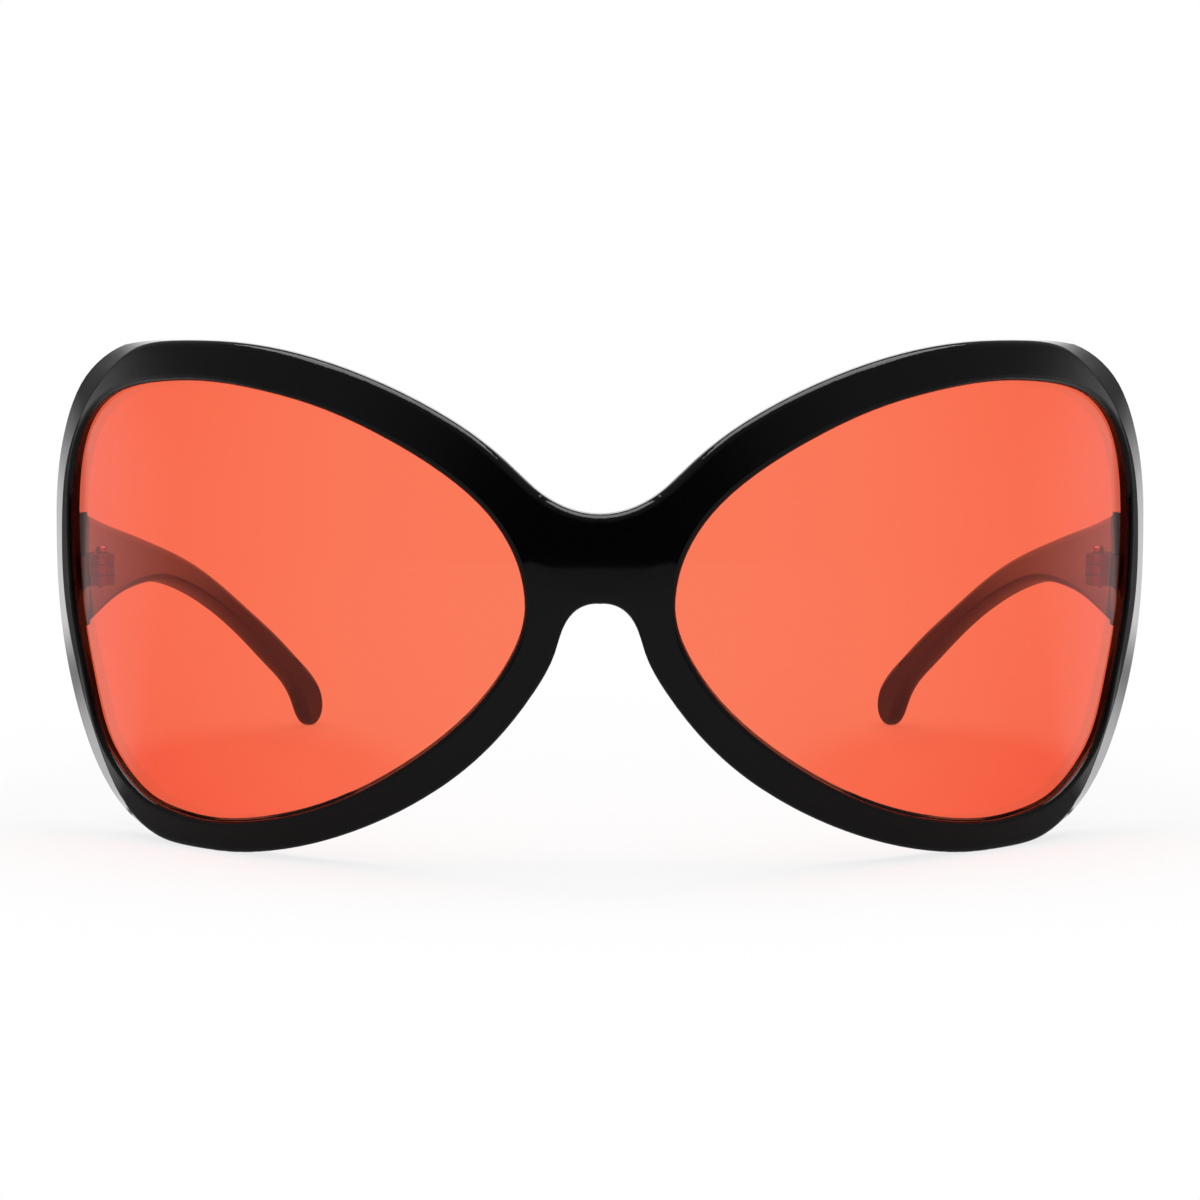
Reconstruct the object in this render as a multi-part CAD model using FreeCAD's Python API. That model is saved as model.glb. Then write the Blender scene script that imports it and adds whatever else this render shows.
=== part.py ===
import FreeCAD, Part
import math
import os

# Oversized butterfly sunglasses: a moulded wrap front with two lenses,
# two temples and a small three-knuckle hinge with a screw on each side.
# Millimetres. X runs across the face (+X is the wearer's left), Y runs from
# the front to the back and Z is up. The glasses stand open on their rims and
# temple tips, on the plane Z = 0.

Vector = FreeCAD.Vector

# --- shape of the curved front face
FLAT_HALF_WIDTH = 8.0        # straight part of the bridge, each side of the middle
WRAP_RADIUS = 73.0           # curve of the face seen from above
RISE_RADIUS = 120.0          # curve of the face seen from the side
MID_HEIGHT = 36.0            # height of the most forward line of the face
RIM_THICKNESS = 4.2
WALL_FLARE = 0.24            # outward lean of the temporal wall, per mm of depth

# --- lens and its groove
LENS_INSET = 1.1             # lens face behind the rim face
LENS_THICKNESS = 2.0
LENS_BITE = 1.1              # lens edge held inside the groove
GROOVE_PLAY = 0.05

# --- end piece and temple
BUTT_DEPTH = 50.5            # where the end piece stops
BUTT_GAP = 0.3               # slit between end piece and temple
END_INNER_X = 71.3
END_BOTTOM = 27.8
END_TOP = 43.6
TEMPLE_INNER_X = 71.3        # inner face of the temple at its front end
TEMPLE_OUTER_X = 76.0
TIP_X = 46.4                 # inner face of the temple at its tip
TIP_DEPTH = 155.0

EDGE_ROUND = 1.1
BACK_ROUND = 0.7
OPENING_ROUND = 0.7
TEMPLE_ROUND = 1.2

# --- hinge
TEMPLE_LEAN = 6.0            # inward lean of the temple at its front end, degrees
PIN_X = 69.6
PIN_Y = 50.5
PIN_Z = 35.5
BARREL_RADIUS = 1.7
HINGE_HEIGHT = 4.4
KNUCKLE_GAP = 0.08
PLATE_NEAR = 1.2             # plate faces, measured outward from the pin
PLATE_FAR = 2.1
STUD_RADIUS = 0.65
FRONT_STUD = 0.8             # how far the studs reach into the plastic; the lens edge is near
TEMPLE_STUD = 1.8
ROOM_RADIUS = 1.95           # hollow round the knuckles in the plastic
SCREW_RADIUS = 0.6
SCREW_PLAY = 0.05
HEAD_RADIUS = 0.8
HEAD_HEIGHT = 1.2

# Edge of the front, right half, from the middle of the brow round to the
# middle of the nose notch: (distance from the middle, height).
EDGE = [(0.0, 46.9), (4.5, 47.8), (8.4, 50.2), (12.2, 53.7), (16.1, 56.9),
        (20.0, 59.4), (27.8, 63.3), (35.8, 66.2), (43.9, 68.0), (52.4, 68.6),
        (58.6, 68.1), (62.5, 67.0), (66.0, 64.8), (68.6, 62.1), (70.8, 59.0),
        (73.0, 54.6), (74.3, 50.0), (74.8, 45.0), (74.9, 40.0), (74.4, 31.5),
        (73.1, 24.7), (71.3, 17.9), (69.1, 12.2), (66.2, 7.1), (62.3, 3.0),
        (57.7, 0.7), (52.2, 0.0), (46.4, 0.45), (40.4, 1.7), (32.2, 4.6),
        (24.1, 8.8), (16.2, 14.7), (12.3, 18.8), (8.3, 24.2), (5.8, 29.0),
        (4.5, 32.8), (2.7, 34.8), (0.0, 35.4)]

# Edge of one lens opening on the front face, from the point nearest the nose
# round under the eye, up the temple side and back along the brow.
OPENING = [(9.7, 36.1), (10.3, 31.3), (12.0, 27.6), (16.1, 21.9), (20.1, 18.0),
           (28.0, 12.2), (36.1, 7.9), (44.4, 5.2), (52.0, 4.2), (57.5, 4.8),
           (61.3, 6.0), (65.3, 9.2), (68.3, 13.6), (70.4, 20.9), (72.5, 31.5),
           (73.1, 40.0), (72.9, 49.0), (71.3, 55.3), (67.8, 59.9), (64.4, 61.8),
           (58.9, 63.0), (52.0, 63.3), (44.4, 62.3), (35.7, 60.0), (27.7, 56.5),
           (20.0, 51.9), (14.1, 46.6), (10.9, 41.3)]

# Upper and lower line of the temple seen from the side: (depth, height).
TEMPLE_TOP = [(50.8, 43.6), (62.0, 41.0), (74.0, 38.7), (85.5, 36.3), (97.0, 33.6),
              (108.0, 30.3), (118.0, 26.4), (128.0, 21.9), (138.0, 17.0),
              (147.0, 11.8)]
TEMPLE_TIP = [(152.2, 8.3), (154.6, 5.4), (155.0, 2.7), (153.8, 0.8), (151.9, 0.16), (150.1, 0.8)]
TEMPLE_UNDER = [(147.0, 4.6), (138.0, 11.4), (128.0, 17.0),
                (118.0, 21.8), (108.0, 25.6), (97.0, 28.7), (86.0, 30.5),
                (76.0, 30.7), (67.0, 30.2), (59.0, 29.1), (50.8, 27.6)]

# Rear line of the front seen from the side, above and below the butt face
# that meets the temple: (depth, height).
REAR_LINE_UP = [(50.5, 43.6), (50.0, 47.5), (48.3, 53.5), (44.8, 60.5), (39.5, 66.7),
                (32.5, 72.0), (22.0, 80.0)]
REAR_LINE_DOWN = [(50.5, 27.8), (49.9, 23.5), (47.6, 17.3), (43.6, 10.5), (38.0, 4.0),
                  (30.0, -2.5), (20.0, -9.0)]


def smooth_step(value):
    clamped = min(1.0, max(0.0, value))
    return clamped * clamped * (3.0 - 2.0 * clamped)


def face_depth(x, z):
    """Depth of the front face at a place seen from the front."""
    side = max(0.0, abs(x) - FLAT_HALF_WIDTH)
    plan = WRAP_RADIUS - math.sqrt(WRAP_RADIUS ** 2 - side ** 2)
    reach = RISE_RADIUS - plan
    return RISE_RADIUS - math.sqrt(reach ** 2 - (z - MID_HEIGHT) ** 2)


def depth_behind_face(point):
    """Distance of a point behind the front face, square to that face."""
    reach = math.hypot(RISE_RADIUS - point.y, point.z - MID_HEIGHT)
    plan_y = RISE_RADIUS - reach
    side = abs(point.x) - FLAT_HALF_WIDTH
    if side <= 0.0:
        return plan_y
    return WRAP_RADIUS - math.hypot(side, WRAP_RADIUS - plan_y)


def half_shell(near, far):
    """Right half of the curved slab between two depths behind the face."""
    turn = math.radians(78.0)
    middle = math.radians(39.0)

    def on_arc(inset, angle):
        radius = WRAP_RADIUS - inset
        x = FLAT_HALF_WIDTH + radius * math.sin(angle)
        y = WRAP_RADIUS - radius * math.cos(angle)
        return Vector(x, y, MID_HEIGHT)

    start_near = Vector(0, near, MID_HEIGHT)
    start_far = Vector(0, far, MID_HEIGHT)
    edges = [Part.makeLine(start_near, on_arc(near, 0))]
    edges.append(Part.Arc(on_arc(near, 0), on_arc(near, middle), on_arc(near, turn)).toShape())
    edges.append(Part.makeLine(on_arc(near, turn), on_arc(far, turn)))
    edges.append(Part.Arc(on_arc(far, turn), on_arc(far, middle), on_arc(far, 0)).toShape())
    edges.append(Part.makeLine(on_arc(far, 0), start_far))
    edges.append(Part.makeLine(start_far, start_near))
    plan = Part.Face(Part.Wire(edges))
    axis_point = Vector(0, RISE_RADIUS, MID_HEIGHT)
    plan.rotate(axis_point, Vector(1, 0, 0), -36)
    return plan.revolve(axis_point, Vector(1, 0, 0), 72)


def edge_lean(x, z):
    """Sideways travel of the outer wall for each mm towards the back."""
    share = smooth_step((x - 56.0) / 15.0)
    rise = (z - MID_HEIGHT) / 33.0
    upper = 1.0 if z > MID_HEIGHT else 0.0
    lean_x = WALL_FLARE * share * (1.0 + (0.2 + 0.9 * upper) * rise ** 2)
    return lean_x, (0.36 - 0.18 * upper) * share * rise


def opening_lean(x, z):
    """The opening narrows a little towards the back, most on the temple side."""
    share = smooth_step((x - 44.0) / 26.0)
    return -0.17 * share, -0.05 * (z - 34.0) / 28.0


def strip_edges(points, lean, ahead, behind, closed):
    """The two rails of a wall that crosses the front from face to back."""
    rails = []
    for shift in (-ahead, behind):
        places = []
        for x, z in points:
            lean_x, lean_z = lean(x, z)
            y = face_depth(x, z) + shift
            places.append(Vector(x + lean_x * shift, y, z + lean_z * shift))
        rail = Part.BSplineCurve()
        if closed:
            rail.interpolate(Points=places, PeriodicFlag=True)
        else:
            rail.interpolate(Points=places)
        rails.append(rail)
    return rails


def strip(points, lean, ahead, behind, closed=False):
    """Wall faces along an outline, ready to part a slab in two."""
    near, far = strip_edges(points, lean, ahead, behind, closed)
    if not closed:
        return [Part.makeRuledSurface(near.toShape(), far.toShape())]
    faces = []
    for low, high in ((0.0, 0.5), (0.5, 1.0)):
        pair = []
        for rail in (near, far):
            span = rail.LastParameter - rail.FirstParameter
            start = rail.FirstParameter + low * span
            pair.append(rail.toShape(start, start + 0.5 * span))
        faces.append(Part.makeRuledSurface(pair[0], pair[1]))
    return faces


def part_slab(slab, walls, keep_point):
    """The portion of a slab that holds the given point once walls cross it."""
    pieces = slab.generalFuse(walls)[0]
    for piece in pieces.Solids:
        if piece.isInside(keep_point, 0.001, True):
            return piece
    raise ValueError("no portion holds the point")


def grown(points, amount):
    """A closed outline moved outward by a fixed amount."""
    moved = []
    count = len(points)
    for index in range(count):
        before = points[index - 1]
        after = points[(index + 1) % count]
        step_x = after[0] - before[0]
        step_z = after[1] - before[1]
        length = math.hypot(step_x, step_z)
        x, z = points[index]
        moved.append((x + amount * step_z / length, z - amount * step_x / length))
    return moved


def face_point(x, z, inset):
    """A point a given depth behind the face, square to the face."""
    side = max(0.0, x - FLAT_HALF_WIDTH)
    sine = side / WRAP_RADIUS
    return Vector(x - sine * inset, face_depth(x, z) + inset * math.sqrt(1 - sine ** 2), z)


def edges_at_depth(shape, depth, tolerance=0.02):
    """Edges that run along one depth behind the face, off the middle plane."""
    found = []
    for edge in shape.Edges:
        first, last = edge.ParameterRange
        fits = True
        for step in range(5):
            point = edge.valueAt(first + (last - first) * (0.1 + 0.2 * step))
            if abs(depth_behind_face(point) - depth) > tolerance:
                fits = False
            if abs(point.x) < 0.01 or abs(point.x - FLAT_HALF_WIDTH) < 0.001:
                fits = False
        if fits:
            found.append(edge)
    return found


def mirrored(shape):
    return shape.mirror(Vector(0, 0, 0), Vector(1, 0, 0))


def nose_pad():
    """Moulded pad on the back of the nasal rim, a stretched ball."""
    ball = Part.makeSphere(1.0)
    stretch = FreeCAD.Matrix()
    stretch.scale(1.9, 5.2, 8.0)
    pad = ball.transformGeometry(stretch)
    pad.rotate(Vector(0, 0, 0), Vector(0, 0, 1), -14)
    pad.rotate(Vector(0, 0, 0), Vector(0, 1, 0), -32)
    pad.translate(Vector(10.9, 5.4, 24.6))
    return pad.cut(half_shell(-9.0, 0.5 * RIM_THICKNESS))


def end_block():
    """Thicker stretch of the front that the temple butts against."""
    size_y = 6.5
    height = END_TOP - END_BOTTOM
    corner = Vector(END_INNER_X, BUTT_DEPTH - size_y, END_BOTTOM)
    return Part.makeBox(3.4, size_y, height, corner)


def behind_rear_line():
    """Everything behind the rear line of the front, as seen from the side."""
    start_x = 50.0
    curves = []
    for line in (REAR_LINE_UP, REAR_LINE_DOWN):
        curve = Part.BSplineCurve()
        places = [Vector(start_x, y, z) for y, z in line]
        curve.interpolate(Points=places, InitialTangent=Vector(0, 0, line[1][1] - line[0][1]),
                          FinalTangent=places[-1] - places[-2])
        curves.append(curve.toShape())
    butt_top = Vector(start_x, REAR_LINE_UP[0][0], REAR_LINE_UP[0][1])
    butt_bottom = Vector(start_x, REAR_LINE_DOWN[0][0], REAR_LINE_DOWN[0][1])
    high = Vector(start_x, REAR_LINE_UP[-1][0], REAR_LINE_UP[-1][1])
    low = Vector(start_x, REAR_LINE_DOWN[-1][0], REAR_LINE_DOWN[-1][1])
    far_high = Vector(start_x, 90.0, high.z)
    far_low = Vector(start_x, 90.0, low.z)
    edges = [curves[0], Part.makeLine(butt_top, butt_bottom), curves[1]]
    edges.append(Part.makeLine(low, far_low))
    edges.append(Part.makeLine(far_low, far_high))
    edges.append(Part.makeLine(far_high, high))
    side = Part.Face(Part.Wire(Part.sortEdges(edges)[0]))
    return side.extrude(Vector(50.0, 0, 0))


def front_half():
    """Right half of the moulded front, all but the hinge recess."""
    slab = half_shell(0.0, RIM_THICKNESS).fuse(end_block())
    slab = slab.cut(behind_rear_line())
    outer = [(-1.5, 47.05)] + EDGE + [(-1.5, 34.95)]
    walls = strip(outer, edge_lean, 8.0, 20.0)
    body = part_slab(slab, walls, face_point(8.5, 44.0, 1.0))
    hole_walls = strip(OPENING, opening_lean, 10.0, 26.0, True)
    hole = part_slab(half_shell(-3.0, 9.0), hole_walls, face_point(40.0, 34.0, 1.0))
    body = body.cut(hole)
    face_edges = edges_at_depth(body, 0.0)
    hole_edges = [edge for edge in face_edges if edge.BoundBox.XMin > 9.0 and edge.BoundBox.XMax < 74.0]
    body = body.makeFillet(OPENING_ROUND, hole_edges)
    face_edges = edges_at_depth(body, 0.0)
    rim_edges = [edge for edge in face_edges if edge.BoundBox.XMax > 74.0 or edge.BoundBox.XMin < 8.5]
    body = body.makeFillet(EDGE_ROUND, rim_edges)
    back_edges = [edge for edge in edges_at_depth(body, RIM_THICKNESS) if edge.BoundBox.XMin < 9.0]
    body = body.makeFillet(BACK_ROUND, back_edges)
    pads = nose_pad().cut(hole).Solids
    pads.sort(key=lambda solid: solid.Volume)
    body = body.fuse(pads[-1])
    groove_walls = strip(grown(OPENING, LENS_BITE + GROOVE_PLAY), opening_lean, 10.0, 26.0, True)
    near = LENS_INSET - GROOVE_PLAY
    far = LENS_INSET + LENS_THICKNESS + GROOVE_PLAY
    return body.cut(part_slab(half_shell(near, far), groove_walls, face_point(40.0, 34.0, 2.0)))


def lens():
    """Lens of the right half, its edge reaching into the groove."""
    walls = strip(grown(OPENING, LENS_BITE), opening_lean, 10.0, 26.0, True)
    slab = half_shell(LENS_INSET, LENS_INSET + LENS_THICKNESS)
    return part_slab(slab, walls, face_point(40.0, 34.0, 2.0))


def temple():
    """Temple of the right half: a side outline kept to a curved plan band."""
    corners = [Vector(30.0, y, z) for y, z in TEMPLE_TOP + TEMPLE_TIP + TEMPLE_UNDER]
    around = Part.BSplineCurve()
    around.interpolate(Points=corners)
    tip_start = len(TEMPLE_TOP) - 1
    tip_end = len(TEMPLE_TOP) + len(TEMPLE_TIP)
    stops = [around.parameter(corners[at]) for at in (0, tip_start, tip_end, -1)]
    edges = [around.toShape(start, end) for start, end in zip(stops, stops[1:])]
    edges.append(Part.makeLine(corners[-1], corners[0]))
    side = Part.Face(Part.Wire(edges)).extrude(Vector(60.0, 0, 0))
    front_y = BUTT_DEPTH + BUTT_GAP
    back_y = TIP_DEPTH + 6.0
    inner_front = Vector(TEMPLE_INNER_X, front_y, -5.0)
    inner_middle = Vector(63.5, 100.0, -5.0)
    inner_back = Vector(TIP_X - 2.2, back_y, -5.0)
    outer_front = Vector(TEMPLE_OUTER_X, front_y, -5.0)
    outer_middle = Vector(66.8, 100.0, -5.0)
    outer_back = Vector(TIP_X + 0.9, back_y, -5.0)
    plan = [Part.Arc(inner_front, inner_middle, inner_back).toShape()]
    plan.append(Part.makeLine(inner_back, outer_back))
    plan.append(Part.Arc(outer_back, outer_middle, outer_front).toShape())
    plan.append(Part.makeLine(outer_front, inner_front))
    band = Part.Face(Part.Wire(plan)).extrude(Vector(0, 0, 60.0))
    arm = side.common(band)
    long_edges = [edge for edge in arm.Edges if edge.BoundBox.YLength > 1.0]
    return arm.makeFillet(TEMPLE_ROUND, long_edges)


def barrel(bottom, top, bore):
    """One hinge knuckle about the pin, heights measured from its middle."""
    outside = Part.makeCylinder(BARREL_RADIUS, top - bottom, Vector(0, 0, bottom))
    hole = Part.makeCylinder(bore, top - bottom + 2.0, Vector(0, 0, bottom - 1.0))
    return outside.cut(hole)


def hinge_leaf(front):
    """Hinge leaf with the pin axis at the origin and the plastic at +X."""
    half = HINGE_HEIGHT / 2.0
    split = HINGE_HEIGHT / 6.0
    thick = PLATE_FAR - PLATE_NEAR
    relief = BARREL_RADIUS + 0.15
    plate_length = 4.6 if front else 8.0
    start = -plate_length if front else 0.15
    plate = Part.makeBox(thick, plate_length, HINGE_HEIGHT, Vector(PLATE_NEAR, start, -half))
    if front:
        room = Part.makeCylinder(relief, 2 * split + 2 * KNUCKLE_GAP, Vector(0, 0, -split - KNUCKLE_GAP))
        knuckles = [barrel(split + KNUCKLE_GAP, half, SCREW_RADIUS)]
        knuckles.append(barrel(-half, -split - KNUCKLE_GAP, SCREW_RADIUS))
        stud_places = [(-3.2, 1.2), (-3.2, -1.2)]
        stud_length = FRONT_STUD
    else:
        upper = Part.makeCylinder(relief, half, Vector(0, 0, split))
        lower = Part.makeCylinder(relief, half, Vector(0, 0, -split - half))
        room = upper.fuse(lower)
        knuckles = [barrel(-split, split, SCREW_RADIUS + SCREW_PLAY)]
        stud_places = [(4.2, 0.0), (6.6, 0.0)]
        stud_length = TEMPLE_STUD
    leaf = plate.cut(room)
    for knuckle in knuckles:
        leaf = leaf.fuse(knuckle)
    bore = SCREW_RADIUS if front else SCREW_RADIUS + SCREW_PLAY
    leaf = leaf.cut(Part.makeCylinder(bore, HINGE_HEIGHT + 2.0, Vector(0, 0, -half - 1.0)))
    for y, z in stud_places:
        foot = Vector(PLATE_FAR - 0.2, y, z)
        leaf = leaf.fuse(Part.makeCylinder(STUD_RADIUS, 0.2 + stud_length, foot, Vector(1, 0, 0)))
    return leaf.removeSplitter()


def hinge_screw():
    """Screw through the knuckles: shank, domed head with a slot."""
    half = HINGE_HEIGHT / 2.0
    shank = Part.makeCylinder(SCREW_RADIUS, HINGE_HEIGHT + 0.4, Vector(0, 0, -half - 0.4))
    head = Part.makeCylinder(HEAD_RADIUS, HEAD_HEIGHT, Vector(0, 0, half))
    head = head.makeFillet(0.25, [edge for edge in head.Edges if edge.BoundBox.ZMin > half + 0.5])
    slot = Part.makeBox(0.3, 2.4, 0.5, Vector(-0.15, -1.2, half + HEAD_HEIGHT - 0.45))
    return shank.fuse(head).cut(slot).removeSplitter()


def at_pin(shape, lean=0.0):
    """A hinge piece carried from the origin to the pin of the right half."""
    placed = shape.copy()
    placed.rotate(Vector(0, 0, 0), Vector(0, 0, 1), lean)
    placed.translate(Vector(PIN_X, PIN_Y, PIN_Z))
    return placed


def build():
    """All pieces by node name, standing on Z = 0 with their middle over the origin."""
    leaf_front = at_pin(hinge_leaf(True))
    leaf_temple = at_pin(hinge_leaf(False), TEMPLE_LEAN)
    screw = at_pin(hinge_screw())
    room_height = HINGE_HEIGHT + 0.4
    room = at_pin(Part.makeCylinder(ROOM_RADIUS, room_height, Vector(0, 0, -room_height / 2.0)))
    half = front_half().cut(leaf_front).cut(room)
    arm = temple().cut(leaf_temple).cut(room)
    pieces = {"front_frame": half.fuse(mirrored(half)).removeSplitter()}
    sided = {"lens": lens(), "temple": arm, "hinge_leaf_front": leaf_front,
             "hinge_leaf_temple": leaf_temple, "hinge_screw": screw}
    for name, shape in sided.items():
        pieces[name + "_left"] = shape
        pieces[name + "_right"] = mirrored(shape)
    boxes = [shape.optimalBoundingBox(True, False) for shape in pieces.values()]
    shift_y = -(min(box.YMin for box in boxes) + max(box.YMax for box in boxes)) / 2.0
    shift_z = -min(box.ZMin for box in boxes)
    for shape in pieces.values():
        shape.translate(Vector(0, shift_y, shift_z))
    return pieces


os.makedirs("parts", exist_ok=True)
for node, shape in build().items():
    print(node, shape.isValid(), len(shape.Solids), round(shape.Volume, 2))
    print(shape.optimalBoundingBox(True, False))
    shape.exportStep("parts/" + node + ".step")
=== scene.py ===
import math

import bmesh
import bpy
import numpy as np
from mathutils import Matrix, Vector


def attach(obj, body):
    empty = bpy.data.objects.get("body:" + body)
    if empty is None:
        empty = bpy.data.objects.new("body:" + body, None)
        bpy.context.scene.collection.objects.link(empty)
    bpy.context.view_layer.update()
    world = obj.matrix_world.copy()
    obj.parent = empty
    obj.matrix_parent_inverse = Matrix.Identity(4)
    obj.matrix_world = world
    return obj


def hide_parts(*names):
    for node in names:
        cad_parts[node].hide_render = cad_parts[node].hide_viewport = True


# Oversized wrap sunglasses: a black moulded front, two orange-red lenses, two
# temples and a screwed three-knuckle hinge on each side. Metres; +X is the
# wearer's left, the front looks towards -Y, and the rims stand on Z = 0.

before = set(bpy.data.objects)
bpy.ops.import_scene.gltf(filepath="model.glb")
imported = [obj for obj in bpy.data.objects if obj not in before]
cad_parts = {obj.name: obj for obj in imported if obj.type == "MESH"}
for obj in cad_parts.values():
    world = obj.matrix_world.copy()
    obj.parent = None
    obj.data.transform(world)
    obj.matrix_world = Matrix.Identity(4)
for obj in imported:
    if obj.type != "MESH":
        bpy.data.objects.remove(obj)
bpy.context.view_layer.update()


# The front is one injection-moulded piece: brows, bridge, rims, end pieces
# and nose pads. The mould is polished, so the black plastic comes out glossy
# with only the faintest ripple, and handling leaves hairline marks on it.

DEEP_BLACK = (0.0011, 0.0011, 0.0014)
PALER_BLACK = (0.0021, 0.0021, 0.0024)
POLISH = 0.03                       # roughness of the polished plastic
RIPPLE_HEIGHT = 0.000006
MARK_HEIGHT = 0.0000002
RIPPLE_SCALE = 140.0
CLOUD_SCALE = 60.0
MARK_SCALE = (9000.0, 260.0, 260.0)
MARK_TURN = (0.3, 0.5, 0.4)
MARK_FROM, MARK_FULL = 0.62, 0.80   # only the peaks of the streaks are marks
INWARD_FROM, INWARD_FULL = 0.55, 0.85
MATT_TO, GLOSS_FROM = -0.0347, -0.0335      # along Y, at the back of the openings
WALL_FROM, WALL_FULL = 0.0714, 0.0716       # along X, in the outer walls
FRONT_MATT = 0.6
FRONT_IOR = 1.5


class Wire:
    """A socket that Python's arithmetic signs work on."""

    def __init__(self, graph, socket):
        self.graph = graph
        self.socket = socket

    def out(self, name):
        return Wire(self.graph, self.socket.node.outputs[name])

    def math(self, operation, *others):
        return self.graph.node("ShaderNodeMath", {"operation": operation}, [self, *others])

    def __add__(self, other):
        return self.math("ADD", other)

    def __sub__(self, other):
        return self.math("SUBTRACT", other)

    def __rsub__(self, other):
        return self.graph.node("ShaderNodeMath", {"operation": "SUBTRACT"}, [other, self])

    def __mul__(self, other):
        return self.math("MULTIPLY", other)

    def __truediv__(self, other):
        return self.math("DIVIDE", other)

    __radd__ = __add__
    __rmul__ = __mul__

    def eased(self, start, end, low=0.0, high=1.0):
        """Goes smoothly from low, up to start, to high, from end on."""
        return self.graph.node("ShaderNodeMapRange", {"interpolation_type": "SMOOTHSTEP"},
                               {"Value": self, "From Min": start, "From Max": end,
                                "To Min": low, "To Max": high})


class Graph:
    """A node tree being wired. node() adds any kind of node to it."""

    def __init__(self, tree):
        self.tree = tree
        tree.nodes.clear()

    def node(self, kind, settings=None, values=(), output=0):
        made = self.tree.nodes.new(kind)
        for name, setting in (settings or {}).items():
            if name == "stops":
                fill_ramp(made.color_ramp, setting)
            else:
                setattr(made, name, setting)
        pairs = values.items() if isinstance(values, dict) else enumerate(values)
        for key, value in pairs:
            if isinstance(value, Wire):
                self.tree.links.new(value.socket, made.inputs[key])
            else:
                made.inputs[key].default_value = value
        return Wire(self, made.outputs[output]) if made.outputs else None

    def mixed(self, share, first, second):
        return self.node("ShaderNodeMix", {"data_type": "RGBA"},
                         {0: share, 6: (*first, 1.0), 7: (*second, 1.0)}, 2)


def fill_ramp(ramp, stops):
    """Puts grey stops, given in their order as (place, level), on a ramp."""
    for stop, (place, level) in zip(ramp.elements, (stops[0], stops[-1])):
        stop.position = place
        stop.color = (level, level, level, 1.0)
    for place, level in stops[1:-1]:
        ramp.elements.new(place).color = (level, level, level, 1.0)


def new_material(name):
    material = bpy.data.materials.new(name)
    material.use_nodes = True
    return material, Graph(material.node_tree)


def moulded_black(name, matt, ior):
    """Black plastic from a polished mould, with a given matt share inside."""
    material, graph = new_material(name)
    place = graph.node("ShaderNodeTexCoord").out("Object")
    ripple = graph.node("ShaderNodeTexNoise", {},
                        {"Vector": place, "Scale": RIPPLE_SCALE, "Detail": 1.0})
    cloud = graph.node("ShaderNodeTexNoise", {},
                       {"Vector": place, "Scale": CLOUD_SCALE, "Detail": 4.0})
    drawn_out = graph.node("ShaderNodeMapping", {},
                           {"Vector": place, "Rotation": MARK_TURN, "Scale": MARK_SCALE})
    hair = graph.node("ShaderNodeTexNoise", {}, {"Vector": drawn_out, "Scale": 1.0, "Detail": 2.0})
    marks = hair.eased(MARK_FROM, MARK_FULL)
    colour = graph.mixed(cloud, DEEP_BLACK, PALER_BLACK)
    # The mould isn't polished where it forms faces that look to the middle of
    # the glasses: in the openings, and inside the walls at the far sides.
    spot = graph.node("ShaderNodeSeparateXYZ", {}, [place])
    side = spot.out("X")
    normal = graph.node("ShaderNodeTexCoord").out("Normal")
    sideways = graph.node("ShaderNodeSeparateXYZ", {}, [normal]).out("X")
    turned_in = sideways * side.math("SIGN") * -1.0
    inner = turned_in.eased(INWARD_FROM, INWARD_FULL, 0.0, matt)
    ahead = spot.out("Y").eased(MATT_TO, GLOSS_FROM, 1.0, 0.0)
    outside = side.math("ABSOLUTE").eased(WALL_FROM, WALL_FULL)
    height = ripple * RIPPLE_HEIGHT + marks * MARK_HEIGHT
    bump = graph.node("ShaderNodeBump", {}, {"Strength": 1.0, "Distance": 1.0, "Height": height})
    roughness = POLISH + cloud * 0.03 + marks * 0.04 + inner * ahead.math("MAXIMUM", outside)
    surface = graph.node("ShaderNodeBsdfPrincipled", {},
                         {"Base Color": colour, "Roughness": roughness, "IOR": ior,
                          "Normal": bump})
    graph.node("ShaderNodeOutputMaterial", {}, {"Surface": surface})
    return material


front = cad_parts["front_frame"]
front.data.materials.clear()
front.data.materials.append(moulded_black("moulded_black", FRONT_MATT, FRONT_IOR))


# Each lens is a flat orange-red polycarbonate blank, cut to the outline of
# its groove and bent to the wrap of the front. The tint is in the material,
# so it deepens where the line of sight crosses the lens at a slant.

# The edge of the left opening as seen from the front, from the middle of the
# glasses and from the drawing's foot line. Lenses and hinges are drawn in
# millimetres, and at_place carries each finished mesh to its place in metres.
OPENING = [(9.7, 36.1), (10.3, 31.3), (12.0, 27.6), (16.1, 21.9), (20.1, 18.0), (28.0, 12.2),
           (36.1, 7.9), (44.4, 5.2), (52.0, 4.2), (57.5, 4.8), (61.3, 6.0), (65.3, 9.2),
           (68.3, 13.6), (70.4, 20.9), (72.5, 31.5), (73.1, 40.0), (72.9, 49.0), (71.3, 55.3),
           (67.8, 59.9), (64.4, 61.8), (58.9, 63.0), (52.0, 63.3), (44.4, 62.3), (35.7, 60.0),
           (27.7, 56.5), (20.0, 51.9), (14.1, 46.6), (10.9, 41.3)]
FLAT_HALF_WIDTH = 8.0   # the bridge is flat across this far, then the wrap begins
WRAP_RADIUS = 73.0
RISE_RADIUS = 120.0
MID_HEIGHT = 36.0
FACE_Y = -77.5374       # most forward point of the front
FOOT_Z = -0.098         # height of the drawing's foot line above the table
LENS_INSET = 1.1        # from the face of the front to the lens
LENS_THICKNESS = 2.0
LENS_BITE = 1.05        # how far the lens goes into its groove
LENS_SOFT = 0.25        # broken edge of the blank
LEAN_FROM, LEAN_RUN = 44.0, 26.0
SIDE_LEAN = -0.17       # slant of the opening's walls at the temporal side
RISE_LEAN = -0.05       # the same at the top and bottom
LEAN_MID, LEAN_REACH = 34.0, 28.0
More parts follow.
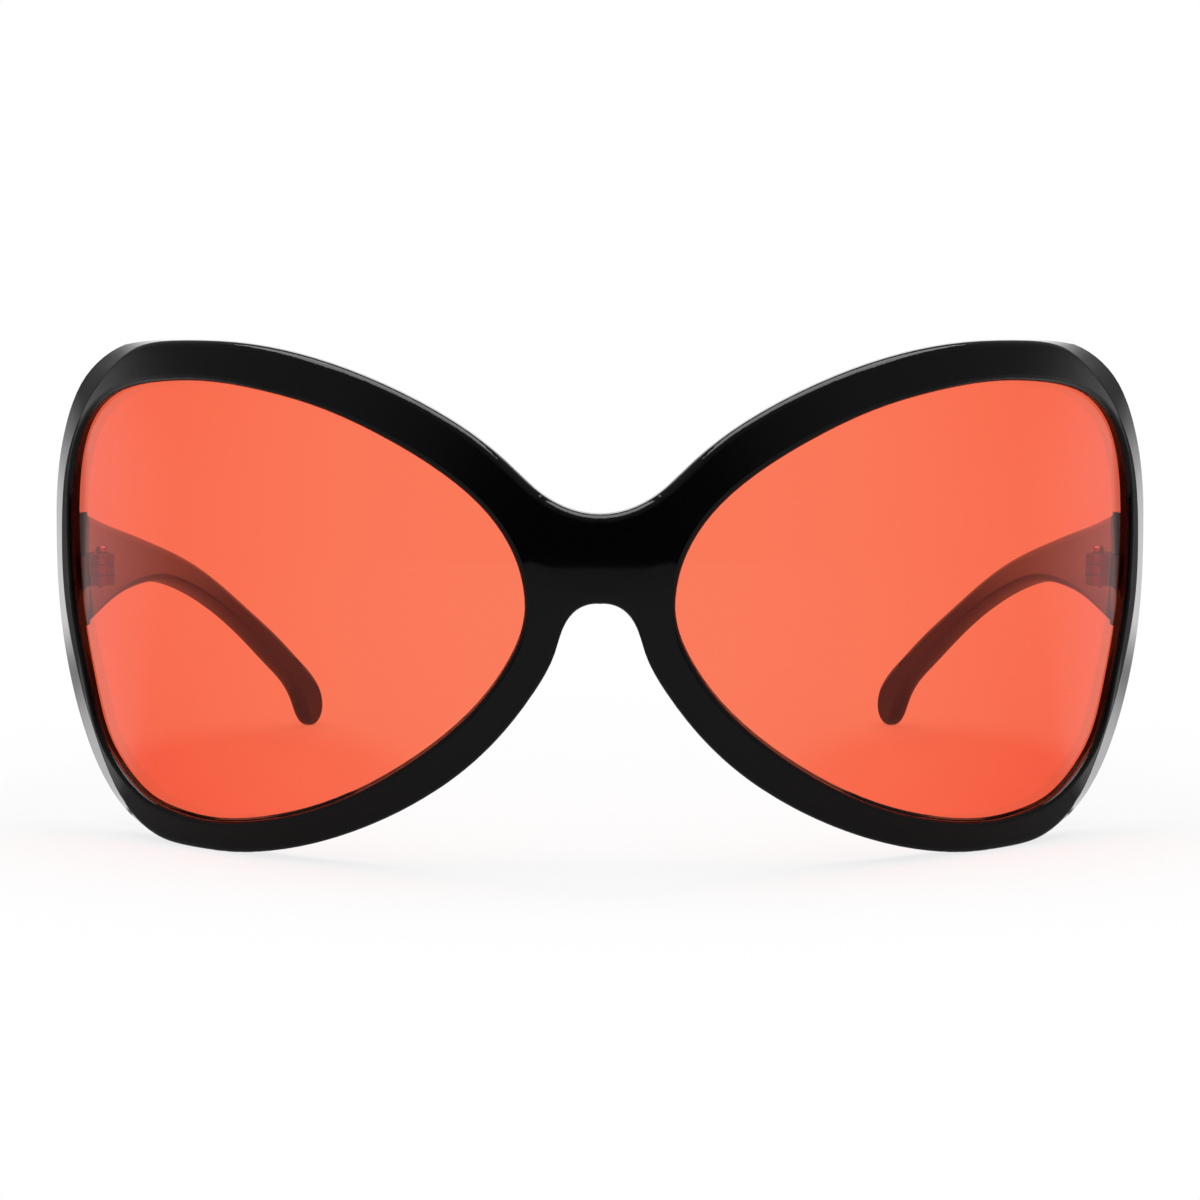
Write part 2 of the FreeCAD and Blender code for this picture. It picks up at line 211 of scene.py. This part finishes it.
DEEPEST_WALL = 45.0
HALVINGS = 40
STEPS_PER_SPAN = 40
AROUND_LENS = 220
RING_SHARES = (0.0, *np.linspace(0.1, 0.93, 18), 0.98)
RING_POLE = np.array([0.0, 12.0])   # where the rings close, from their middle
FLOW_SCALE = 90.0
FLOW_HEIGHT = 0.0000012
LENS_IOR = 1.5
TINT = (0.996, 0.292, 0.0045)
TINT_DENSITY = 1115.0


def smooth_line(points, count):
    """Evenly spread points on a closed smooth line through the given ones."""
    knots = np.array(points + points[:1], dtype=float)
    gap = np.linalg.norm(np.diff(knots, axis=0), axis=1)
    size = len(knots)
    matrix = np.eye(size)
    load = np.zeros_like(knots)
    for i in range(1, size - 1):
        matrix[i, i - 1:i + 2] = gap[i - 1], 2 * (gap[i - 1] + gap[i]), gap[i]
        load[i] = 6 * ((knots[i + 1] - knots[i]) / gap[i] - (knots[i] - knots[i - 1]) / gap[i - 1])
    matrix[0, 0] = 2 * (gap[-1] + gap[0])
    matrix[0, 1] = gap[0]
    matrix[0, size - 2] = gap[-1]
    load[0] = 6 * ((knots[1] - knots[0]) / gap[0] - (knots[0] - knots[-2]) / gap[-1])
    matrix[-1, 0] = -1.0
    bend = np.linalg.solve(matrix, load)
    t = np.linspace(0.0, 1.0, STEPS_PER_SPAN, endpoint=False)[:, None]
    dense = []
    for i in range(size - 1):
        straight = knots[i] * (1 - t) + knots[i + 1] * t
        curl = ((1 - t) ** 3 - (1 - t)) * bend[i] + (t ** 3 - t) * bend[i + 1]
        dense.append(straight + curl * gap[i] ** 2 / 6)
    dense = np.vstack(dense + [knots[-1:]])
    run = np.concatenate([[0.0], np.cumsum(np.linalg.norm(np.diff(dense, axis=0), axis=1))])
    at = np.linspace(0.0, run[-1], count, endpoint=False)
    return np.stack([np.interp(at, run, dense[:, k]) for k in range(2)], axis=1)


def on_face(flat):
    """Points on the face of the front, for places (x, z) seen from ahead."""
    side = np.maximum(0.0, np.abs(flat[:, 0]) - FLAT_HALF_WIDTH)
    reach = RISE_RADIUS - WRAP_RADIUS + np.sqrt(WRAP_RADIUS ** 2 - side ** 2)
    depth = RISE_RADIUS - np.sqrt(reach ** 2 - (flat[:, 1] - MID_HEIGHT) ** 2)
    return np.stack([flat[:, 0], depth, flat[:, 1]], axis=1)


def behind_face(points):
    """How far points lie behind the face, square to it."""
    reach = np.hypot(RISE_RADIUS - points[:, 1], points[:, 2] - MID_HEIGHT)
    side = np.maximum(0.0, np.abs(points[:, 0]) - FLAT_HALF_WIDTH)
    return WRAP_RADIUS - np.hypot(side, WRAP_RADIUS - RISE_RADIUS + reach)


def opening_lean(flat):
    """The way that the opening's walls run back from the face."""
    share = np.clip((flat[:, 0] - LEAN_FROM) / LEAN_RUN, 0.0, 1.0)
    share = share * share * (3.0 - 2.0 * share)
    rise = (flat[:, 1] - LEAN_MID) / LEAN_REACH
    return np.stack([SIDE_LEAN * share, np.ones(len(flat)), RISE_LEAN * rise], axis=1)


def far_end(start, lean, inset):
    """Where walls that leave the face reach a given way behind it."""
    low = np.zeros(len(start))
    high = np.full(len(start), DEEPEST_WALL)
    for _ in range(HALVINGS):
        middle = 0.5 * (low + high)
        short = behind_face(start + middle[:, None] * lean) < inset
        low = np.where(short, middle, low)
        high = np.where(short, high, middle)
    return start + low[:, None] * lean


def blank_outline(count):
    """The lens outline laid flat: lengths along the wrap and along the rise."""
    loop = smooth_line(OPENING, count)
    along = np.roll(loop, -1, axis=0) - np.roll(loop, 1, axis=0)
    along /= np.linalg.norm(along, axis=1)[:, None]
    loop = loop + LENS_BITE * np.stack([along[:, 1], -along[:, 0]], axis=1)
    middle = LENS_INSET + 0.5 * LENS_THICKNESS
    spots = far_end(on_face(loop), opening_lean(loop), middle)
    reach = np.hypot(RISE_RADIUS - spots[:, 1], spots[:, 2] - MID_HEIGHT)
    wrap = np.arctan2(spots[:, 0] - FLAT_HALF_WIDTH, WRAP_RADIUS - RISE_RADIUS + reach)
    rise = np.arcsin((spots[:, 2] - MID_HEIGHT) / reach)
    return np.stack([FLAT_HALF_WIDTH + WRAP_RADIUS * wrap, RISE_RADIUS * rise], axis=1)


def plain(mesh, name):
    """Turns a mesh being worked on into a finished one."""
    data = bpy.data.meshes.new(name)
    mesh.to_mesh(data)
    mesh.free()
    return data


def new_object(name, data):
    made = bpy.data.objects.new(name, data)
    bpy.context.collection.objects.link(made)
    return made


def result_mesh(made):
    """The plain mesh that an object's modifiers give."""
    depsgraph = bpy.context.evaluated_depsgraph_get()
    return bpy.data.meshes.new_from_object(made.evaluated_get(depsgraph))


def at_place(data):
    """Carries a mesh from the drawing's millimetres to its place in metres."""
    data.transform(Matrix.Scale(0.001, 4) @ Matrix.Translation((0.0, FACE_Y, FOOT_Z)))
    data.update()


def new_tree(name, inputs):
    """A geometry tree that takes a shape and named inputs, and gives a shape."""
    tree = bpy.data.node_groups.new(name, "GeometryNodeTree")
    for label, kind in [("Geometry", "Geometry"), *inputs]:
        tree.interface.new_socket(label, in_out="INPUT", socket_type="NodeSocket" + kind)
    tree.interface.new_socket("Geometry", in_out="OUTPUT", socket_type="NodeSocketGeometry")
    return tree, Graph(tree)


def shape_by(made, tree, values):
    """Sets a geometry tree on an object, with its inputs given by name."""
    shaping = made.modifiers.new("shaping", "NODES")
    shaping.node_group = tree
    keys = {item.name: item.identifier for item in tree.interface.items_tree
            if item.in_out == "INPUT"}
    for name, value in values.items():
        shaping[keys[name]] = value


def bending_tree():
    """Lays a flat sheet with its thickness along Y onto the wrap of the front."""
    sizes = ("Flat Half Width", "Wrap Radius", "Rise Radius", "Mid Height")
    tree, graph = new_tree("bend_to_wrap", [(name, "Float") for name in sizes]
                           + [("Material", "Material")])
    given = graph.node("NodeGroupInput")
    flat, wrap, rise, mid_height = (given.out(name) for name in sizes)
    place = graph.node("ShaderNodeSeparateXYZ", {}, [graph.node("GeometryNodeInputPosition")])
    across, inset, up = place.out("X"), place.out("Y"), place.out("Z")
    width = across.math("ABSOLUTE")
    turn = (width - flat).math("MAXIMUM", 0.0) / wrap
    tilt = up / rise
    reach = rise - wrap + (wrap - inset) * turn.math("COSINE")
    bent_x = width.math("MINIMUM", flat) + (wrap - inset) * turn.math("SINE")
    bent_y = rise - reach * tilt.math("COSINE")
    bent_z = mid_height + reach * tilt.math("SINE")
    bent = graph.node("ShaderNodeCombineXYZ", {}, [bent_x * across.math("SIGN"), bent_y, bent_z])
    shaped = graph.node("GeometryNodeSetPosition", {},
                        {"Geometry": given.out("Geometry"), "Position": bent})
    smooth = graph.node("GeometryNodeSetShadeSmooth", {}, {"Geometry": shaped})
    real = graph.node("GeometryNodeRealizeInstances", {}, [smooth])
    painted = graph.node("GeometryNodeSetMaterial", {},
                         {"Geometry": real, "Material": given.out("Material")})
    graph.node("NodeGroupOutput", {}, [painted])
    return tree


def clear_tint():
    """Orange-red polycarbonate, tinted through and through."""
    material, graph = new_material("orange_red_lens")
    place = graph.node("ShaderNodeTexCoord").out("Object")
    flow = graph.node("ShaderNodeTexNoise", {},
                      {"Vector": place, "Scale": FLOW_SCALE, "Detail": 0.0})
    bump = graph.node("ShaderNodeBump", {},
                      {"Strength": 1.0, "Distance": 1.0, "Height": flow * FLOW_HEIGHT})
    clear = graph.node("ShaderNodeBsdfPrincipled", {},
                       {"Base Color": (1.0, 1.0, 1.0, 1.0), "Roughness": 0.0, "IOR": LENS_IOR,
                        "Transmission Weight": 1.0, "Normal": bump})
    through = graph.node("ShaderNodeBsdfTransparent")
    shade = graph.node("ShaderNodeLightPath").out("Is Shadow Ray")
    surface = graph.node("ShaderNodeMixShader", {}, {0: shade, 1: clear, 2: through})
    # What 2 mm let through: nearly all the red, a fifth of the green, a ninth of the blue.
    body = graph.node("ShaderNodeVolumeAbsorption", {},
                      {"Color": (*TINT, 1.0), "Density": TINT_DENSITY})
    graph.node("ShaderNodeOutputMaterial", {}, {"Surface": surface, "Volume": body})
    return material


def lens_blank(side, flat):
    """The flat closed blank, ring by ring from the front face over the edge."""
    # The rings close high up, where nothing behind the lens is seen through them.
    middle = flat.mean(axis=0) + RING_POLE
    out = (flat - middle) / np.linalg.norm(flat - middle, axis=1)[:, None]
    rings = [(share, LENS_INSET, 0.0) for share in RING_SHARES]
    halfway = 0.3 * LENS_SOFT
    rings += [(1.0, LENS_INSET, -LENS_SOFT), (1.0, LENS_INSET + halfway, -halfway),
              (1.0, LENS_INSET + LENS_SOFT, 0.0)]
    both_faces = 2 * LENS_INSET + LENS_THICKNESS
    rings += [(share, both_faces - inset, slip) for share, inset, slip in reversed(rings)]
    mesh = bmesh.new()
    loops = []
    for share, inset, slip in rings:
        if share == 0.0:
            pole = mesh.verts.new((side * middle[0], inset, middle[1]))
            loops.append([pole] * len(flat))
            continue
        spots = middle + (flat - middle) * share + out * slip
        loops.append([mesh.verts.new((side * x, inset, z)) for x, z in spots])
    for near, far in zip(loops, loops[1:]):
        for i in range(len(flat)):
            j = (i + 1) % len(flat)
            mesh.faces.new(list(dict.fromkeys([near[i], far[i], far[j], near[j]])))
    bmesh.ops.recalc_face_normals(mesh, faces=mesh.faces)
    return plain(mesh, "blank")


lens_tree = bending_tree()
tint = clear_tint()
blank_loop = blank_outline(AROUND_LENS)
for side, hand in ((1, "left"), (-1, "right")):
    lens = new_object("tinted_lens_" + hand, lens_blank(side, blank_loop))
    shape_by(lens, lens_tree, {"Flat Half Width": FLAT_HALF_WIDTH, "Wrap Radius": WRAP_RADIUS,
                               "Rise Radius": RISE_RADIUS, "Mid Height": MID_HEIGHT,
                               "Material": tint})
    bent = result_mesh(lens)
    lens.modifiers.clear()
    lens.data = bent
    bent.name = lens.name
    at_place(bent)
    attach(lens, "front")
    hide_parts("lens_" + hand)


# The temples are moulded in the same black plastic as the front, one piece
# each from the hinge to the tip. They are polished nearly all over, and come
# out a little glossier than the front.

TEMPLE_MATT = 0.02
TEMPLE_IOR = 1.58

temple_black = moulded_black("temple_black", TEMPLE_MATT, TEMPLE_IOR)
for hand in ("left", "right"):
    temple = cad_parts["temple_" + hand]
    temple.data.materials.clear()
    temple.data.materials.append(temple_black)


# Three-knuckle hinges of stamped steel. The front's leaf carries the outer two
# knuckles, the temple's leaf the middle one, and a slotted screw holds them.
# The plates are let into the plastic.

PIN_X = 69.6
PIN_Y = 50.5
PIN_Z = 35.5
HINGE_HALF = 2.2        # half the height of the three knuckles together
MIDDLE_HALF = HINGE_HALF / 3
BARREL_RADIUS = 1.7
BARREL_SOFT = 0.14      # broken edge of a knuckle
SCREW_RADIUS = 0.6
SCREW_PLAY = 0.05
KNUCKLE_GAP = 0.08
PLATE_NEAR = 1.2        # the plates lie this far out from the pin
PLATE_FAR = 2.1
PLATE_SOFT = 0.12       # rolled edge of a plate
FRONT_PLATE = (-4.6, -1.9)      # these four run along the temple, from the pin
FRONT_NECK = (-2.2, 0.0)
TEMPLE_PLATE = (1.9, 8.15)
TEMPLE_NECK = (0.15, 2.2)
TEMPLE_LEAN = math.radians(6.0)
TAIL = 0.4              # the screw's end stands this far below the knuckles
TAIL_SOFT = 0.12
HEAD_RADIUS = 0.8
HEAD_SOFT = 0.06
HEAD_SIDE = 0.75        # height of the head's straight side
HEAD_DOME = 0.45
BLADE_WIDTH = 0.3       # of the driver that fits the slot
BLADE_DEPTH = 0.5
BLADE_LENGTH = 2.4
AROUND_PIN = 96
SHARP_ANGLE = math.radians(50)
LEAF_GREY = (0.24, 0.235, 0.23)
LEAF_ROUGHNESS = 0.26
SCREW_GREY = (0.55, 0.55, 0.55)
SCREW_ROUGHNESS = 0.16
GRAIN_SCALE = (300.0, 300.0, 9000.0)
GRAIN_HEIGHT = 0.00001


def turned_steel(name, colour, roughness):
    """Steel with a fine grain round the pin, darker in the grain's valleys."""
    material, graph = new_material(name)
    place = graph.node("ShaderNodeTexCoord").out("Object")
    drawn_out = graph.node("ShaderNodeMapping", {}, {"Vector": place, "Scale": GRAIN_SCALE})
    grain = graph.node("ShaderNodeTexNoise", {}, {"Vector": drawn_out, "Scale": 1.0, "Detail": 3.0})
    cloud = graph.node("ShaderNodeTexNoise", {}, {"Vector": place, "Scale": 700.0, "Detail": 3.0})
    bump = graph.node("ShaderNodeBump", {},
                      {"Strength": 0.4, "Distance": GRAIN_HEIGHT, "Height": grain})
    shade = graph.mixed(grain, [0.75 * level for level in colour], colour)
    surface = graph.node("ShaderNodeBsdfPrincipled", {},
                         {"Base Color": shade, "Metallic": 1.0,
                          "Roughness": roughness + grain * 0.08 + cloud * 0.08, "Normal": bump})
    graph.node("ShaderNodeOutputMaterial", {}, {"Surface": surface})
    return material


def turned(profile):
    """A closed solid turned from (radius, height) pairs about the pin axis."""
    mesh = bmesh.new()
    angles = np.linspace(0.0, 2 * math.pi, AROUND_PIN, endpoint=False)
    rings = []
    for radius, height in profile:
        if radius == 0.0:
            rings.append([mesh.verts.new((0.0, 0.0, height))] * AROUND_PIN)
            continue
        rings.append([mesh.verts.new((radius * math.cos(a), radius * math.sin(a), height))
                      for a in angles])
    for low, high in zip(rings, rings[1:] + rings[:1]):
        for i in range(AROUND_PIN):
            j = (i + 1) % AROUND_PIN
            corners = list(dict.fromkeys([low[i], low[j], high[j], high[i]]))
            if len(corners) > 2:
                mesh.faces.new(corners)
    bmesh.ops.recalc_face_normals(mesh, faces=mesh.faces)
    return mesh


def knuckle(height, bore):
    """A knuckle with softly broken edges, its middle at the origin."""
    half = 0.5 * height
    corner = [(BARREL_SOFT * (1 - math.sin(t)), BARREL_SOFT * (1 - math.cos(t)))
              for t in np.linspace(0.0, math.pi / 2, 6)]
    wall = [(BARREL_RADIUS - inward, -half + up) for inward, up in corner]
    wall += [(radius, -level) for radius, level in reversed(wall)]
    return turned([(bore, -half)] + wall + [(bore, half)])


def stacking_tree():
    """Sets copies of one knuckle above each other along the pin."""
    tree, graph = new_tree("stack_knuckles", [("Count", "Int"), ("First", "Float"),
                                              ("Pitch", "Float"), ("Material", "Material")])
    given = graph.node("NodeGroupInput")
    first = graph.node("ShaderNodeCombineXYZ", {}, {"Z": given.out("First")})
    pitch = graph.node("ShaderNodeCombineXYZ", {}, {"Z": given.out("Pitch")})
    places = graph.node("GeometryNodeMeshLine", {"mode": "OFFSET"},
                        {"Count": given.out("Count"), "Start Location": first, "Offset": pitch})
    stack = graph.node("GeometryNodeInstanceOnPoints", {},
                       {"Points": places, "Instance": given.out("Geometry")})
    real = graph.node("GeometryNodeRealizeInstances", {}, [stack])
    painted = graph.node("GeometryNodeSetMaterial", {},
                         {"Geometry": real, "Material": given.out("Material")})
    graph.node("NodeGroupOutput", {}, [painted])
    return tree


def stacked(mesh, tree, count, first, pitch, material):
    holder = new_object("knuckles", plain(mesh, "knuckle"))
    shape_by(holder, tree, {"Count": count, "First": first, "Pitch": pitch, "Material": material})
    made = result_mesh(holder)
    bpy.data.objects.remove(holder)
    return made


def soft_plate(reach, low, high, turn):
    """A stamped plate beside the pin, its edges rolled over."""
    from_corner = (PLATE_NEAR, reach[0], low)
    to_corner = (PLATE_FAR, reach[1], high)
    mesh = bmesh.new()
    bmesh.ops.create_cube(mesh, size=1.0)
    for vert in mesh.verts:
        vert.co = Vector([from_corner[k] + (vert.co[k] + 0.5) * (to_corner[k] - from_corner[k])
                          for k in range(3)])
    bmesh.ops.bevel(mesh, geom=list(mesh.edges), offset=PLATE_SOFT, segments=4, profile=0.5,
                    affect="EDGES")
    mesh.transform(Matrix.Rotation(turn, 4, "Z"))
    return plain(mesh, "plate")


def slotted_screw():
    """Shank with a broken end, and a domed head with a driver slot across it."""
    head_top = HINGE_HALF + HEAD_SIDE
    profile = [(0.0, -HINGE_HALF - TAIL),
               (SCREW_RADIUS - TAIL_SOFT, -HINGE_HALF - TAIL),
               (SCREW_RADIUS, -HINGE_HALF - TAIL + TAIL_SOFT),
               (SCREW_RADIUS, HINGE_HALF),
               (HEAD_RADIUS - HEAD_SOFT, HINGE_HALF),
               (HEAD_RADIUS, HINGE_HALF + HEAD_SOFT)]
    profile += [(HEAD_RADIUS * math.cos(t), head_top + HEAD_DOME * math.sin(t))
                for t in np.linspace(0.0, math.pi / 2, 12)[:-1]]
    profile.append((0.0, head_top + HEAD_DOME))
    screw = new_object("screw", plain(turned(profile), "screw"))
    cutter = bmesh.new()
    bmesh.ops.create_cube(cutter, size=1.0)
    for vert in cutter.verts:
        vert.co = Vector((vert.co.x * BLADE_WIDTH, vert.co.y * BLADE_LENGTH,
                          head_top + (vert.co.z + 0.5) * BLADE_DEPTH))
    blade = new_object("blade", plain(cutter, "blade"))
    cut = screw.modifiers.new("slot", "BOOLEAN")
    cut.object = blade
    cut.solver = "EXACT"
    data = result_mesh(screw)
    bpy.data.objects.remove(screw)
    bpy.data.objects.remove(blade)
    return data


def pin_piece(name, parts, side, material, node, body):
    """Joins meshes made about the pin axis into one piece on a side's pin."""
    mesh = bmesh.new()
    for part in parts:
        mesh.from_mesh(part)
    on_side = Matrix.Diagonal((side, 1.0, 1.0, 1.0))
    mesh.transform(on_side @ Matrix.Translation((PIN_X, PIN_Y, PIN_Z)))
    if side < 0:
        bmesh.ops.reverse_faces(mesh, faces=mesh.faces)
    data = plain(mesh, name)
    data.materials.clear()
    data.materials.append(material)
    data.shade_smooth()
    data.set_sharp_from_angle(angle=SHARP_ANGLE)
    at_place(data)
    piece = new_object(name, data)
    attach(piece, body)
    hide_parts(node)


leaf_steel = turned_steel("hinge_steel", LEAF_GREY, LEAF_ROUGHNESS)
screw_steel = turned_steel("screw_steel", SCREW_GREY, SCREW_ROUGHNESS)
stack_tree = stacking_tree()
outer_height = HINGE_HALF - MIDDLE_HALF - KNUCKLE_GAP
outer_middle = HINGE_HALF - 0.5 * outer_height
for side, hand in ((1, "left"), (-1, "right")):
    outer = stacked(knuckle(outer_height, SCREW_RADIUS), stack_tree,
                    2, -outer_middle, 2 * outer_middle, leaf_steel)
    plates = [soft_plate(FRONT_PLATE, -HINGE_HALF, HINGE_HALF, 0.0),
              soft_plate(FRONT_NECK, -HINGE_HALF, -MIDDLE_HALF - KNUCKLE_GAP, 0.0),
              soft_plate(FRONT_NECK, MIDDLE_HALF + KNUCKLE_GAP, HINGE_HALF, 0.0)]
    pin_piece("front_leaf_" + hand, [outer] + plates, side, leaf_steel,
              "hinge_leaf_front_" + hand, "front")
    inner = stacked(knuckle(2 * MIDDLE_HALF, SCREW_RADIUS + SCREW_PLAY), stack_tree,
                    1, 0.0, 0.0, leaf_steel)
    plates = [soft_plate(TEMPLE_PLATE, -HINGE_HALF, HINGE_HALF, TEMPLE_LEAN),
              soft_plate(TEMPLE_NECK, -MIDDLE_HALF, MIDDLE_HALF, TEMPLE_LEAN)]
    pin_piece("temple_leaf_" + hand, [inner] + plates, side, leaf_steel,
              "hinge_leaf_temple_" + hand, "temple_arm_" + hand)
    pin_piece("slotted_screw_" + hand, [slotted_screw()], side, screw_steel,
              "hinge_screw_" + hand, "front")


# The studio is a white table in a white surround, under one big lamp. What
# polished things mirror is darker: the room ahead of the glasses is dark, so
# the black front stays black. Sizes are in metres from here on.

# How bright the mirrored room is, from straight ahead of the glasses (0) to
# straight behind them (1): on the table, low down, and higher up.
BACK_ROOM = [(0.50, 0.25), (0.60, 0.5), (0.70, 0.65), (0.81, 0.65), (0.83, 0.10), (0.90, 0.12),
             (0.93, 0.5), (0.96, 1.0), (1.0, 1.0)]
FLOOR_ROOM = [(0.0, 0.14), (0.15, 0.14), (0.30, 0.12)] + BACK_ROOM
LOW_ROOM = [(0.0, 0.0), (0.025, 0.02), (0.05, 0.08), (0.15, 0.12), (0.30, 0.17)] + BACK_ROOM
HIGH_ROOM = [(0.0, 0.0), (0.02, 0.01), (0.06, 0.07), (0.12, 0.12), (0.18, 0.15), (0.35, 0.16),
             (0.60, 0.17), (0.76, 0.20), (0.87, 0.20), (0.93, 0.20), (1.0, 0.35)]
ROOM_LOW, ROOM_HIGH = 0.03, 0.30    # where the low room gives way to the higher one
ROOM_LIGHT = 0.5                    # what the surround gives to matt surfaces
WALL_X, WALL_Y = 0.073, -0.035      # the front's outer wall, which mirrors the room
SHADOW_TO, WHITE_FROM = 0.08, 0.15  # distances from the middle of the glasses
SHADOW_WHITE = 0.8                  # share of plain white nearer than these
# The painted shadow of the glasses on the table as it is seen in reflections:
PAINTED_SHADOW_SHARE = 0.7                     # painted shadow: how much darker the mirrored table is behind the glasses
PAINTED_SHADOW_START = (0.0, 0.10)             # along Y
PAINTED_SHADOW_END = (0.20, 0.35)              # along Y
PAINTED_SHADOW_SIDE = (0.05, 0.08)             # outwards from the outer wall
MIRRORED_SHARE = 0.9
PAINTED_RED_SHADOW_X, PAINTED_RED_SHADOW_Y = 0.056, -0.01     # middle of the painted red-tinted shadow behind a lens
PAINTED_RED_SHADOW_REACH = (0.03, 0.085)
PAINTED_RED_SHADOW_EDGE = (0.75, 1.15)
# colour of the painted red-tinted shadow
PAINTED_RED_SHADOW_TINT = (1.0, 0.77, 0.72)
PLAIN_WHITE = (1.0, 1.0, 1.0)
TABLE_WHITE = (0.80, 0.80, 0.80)
TABLE_SIZE = 8.0
LAMP_SIZE = (1.0, 0.8)
LAMP_WATTS = 7.5
LAMP_PLACE = (0.0, 0.05, 0.9)
CAMERA_PLACE = (0.0, -0.5773, 0.0844)
CAMERA_DOWN = 5.54                  # degrees
FOCAL_LENGTH = 117.57


def pale_table():
    material, graph = new_material("white_table")
    path = graph.node("ShaderNodeLightPath")
    through = path.out("Is Transmission Ray")
    seen = path.out("Is Camera Ray") + through
    shine = path.out("Is Glossy Ray") * (1 - through)
    place = graph.node("ShaderNodeTexCoord").out("Object")
    spot = graph.node("ShaderNodeSeparateXYZ", {}, [place])
    # Near the glasses the table keeps a part of their shadow.
    away = graph.node("ShaderNodeVectorMath", {"operation": "LENGTH"}, [place], "Value")
    white_share = away.eased(SHADOW_TO, WHITE_FROM, SHADOW_WHITE, 1.0)
    # In reflections the table shows a painted room: for glossy rays its glow follows the room round
    # the front's outer wall, and a painted shadow of the glasses dims it behind them.
    across = spot.out("X").math("ABSOLUTE")
    beside = across - WALL_X
    behind = spot.out("Y") - WALL_Y
    reach = (beside * beside + behind * behind).math("SQRT")
    painted_room_reflection = graph.node("ShaderNodeValToRGB", {"stops": FLOOR_ROOM},
                            [behind / reach * 0.5 + 0.5])
    painted_shadow = spot.out("Y").eased(*PAINTED_SHADOW_END, PAINTED_SHADOW_SHARE, 0.0)
    painted_shadow *= beside.eased(*PAINTED_SHADOW_SIDE, 1.0, 0.0)
    painted_shadow *= spot.out("Y").eased(*PAINTED_SHADOW_START)
    mirrored = painted_room_reflection * (1 - painted_shadow)
    # Seen through the lenses, the table behind them gets a painted red-tinted shadow, standing in
    # for the shadow and red light that the lenses cast.
    over = (across - PAINTED_RED_SHADOW_X) / PAINTED_RED_SHADOW_REACH[0]
    along = (spot.out("Y") - PAINTED_RED_SHADOW_Y) / PAINTED_RED_SHADOW_REACH[1]
    painted_red_shadow = (over * over + along * along).math("SQRT").eased(*PAINTED_RED_SHADOW_EDGE, 1.0, 0.0)
    red_shadowed_white = graph.mixed(painted_red_shadow * through, PLAIN_WHITE, PAINTED_RED_SHADOW_TINT)
    matt = graph.node("ShaderNodeBsdfDiffuse", {}, {"Color": (*TABLE_WHITE, 1.0)})
    white = graph.node("ShaderNodeEmission", {},
                       {"Color": red_shadowed_white, "Strength": seen + shine * mirrored})
    share = seen * white_share + shine * MIRRORED_SHARE
    surface = graph.node("ShaderNodeMixShader", {}, {0: share, 1: matt, 2: white})
    graph.node("ShaderNodeOutputMaterial", {}, {"Surface": surface})
    return material


def surround():
    world = bpy.data.worlds.new("surround")
    world.use_nodes = True
    graph = Graph(world.node_tree)
    path = graph.node("ShaderNodeLightPath")
    direction = graph.node("ShaderNodeTexCoord").out("Generated")
    aim = graph.node("ShaderNodeSeparateXYZ", {}, [direction])
    low_room = graph.node("ShaderNodeValToRGB", {"stops": LOW_ROOM}, [aim.out("Y") * 0.5 + 0.5])
    high_room = graph.node("ShaderNodeValToRGB", {"stops": HIGH_ROOM}, [aim.out("Y") * 0.5 + 0.5])
    raised = aim.out("Z").eased(ROOM_LOW, ROOM_HIGH)
    through = path.out("Is Transmission Ray")
    seen = path.out("Is Camera Ray") + through
    shine = path.out("Is Glossy Ray") * (1 - through)
    lit = (1 - path.out("Is Camera Ray")) * (1 - path.out("Is Glossy Ray")) * (1 - through)
    mirrored = low_room * (1 - raised) + high_room * raised
    level = seen + shine * mirrored + lit * ROOM_LIGHT
    sky = graph.node("ShaderNodeBackground", {}, {"Color": (*PLAIN_WHITE, 1.0), "Strength": level})
    graph.node("ShaderNodeOutputWorld", {}, {"Surface": sky})
    return world


bpy.ops.mesh.primitive_plane_add(size=TABLE_SIZE)
table = bpy.context.active_object
table.name = "table"
table.data.materials.append(pale_table())
bpy.context.scene.world = surround()

lamp = bpy.data.lights.new("overhead", "AREA")
lamp.shape = "RECTANGLE"
lamp.size, lamp.size_y = LAMP_SIZE
lamp.energy = LAMP_WATTS
new_object("overhead", lamp).location = LAMP_PLACE

# The camera stands half a metre in front of the bridge and looks a little down.
view = bpy.data.cameras.new("camera")
view.lens = FOCAL_LENGTH
view.sensor_width = 36.0
view.clip_start = 0.01
camera = new_object("camera", view)
camera.location = CAMERA_PLACE
camera.rotation_euler = (math.radians(90.0 - CAMERA_DOWN), 0.0, 0.0)
bpy.context.scene.camera = camera
bpy.context.scene.view_settings.view_transform = "Standard"
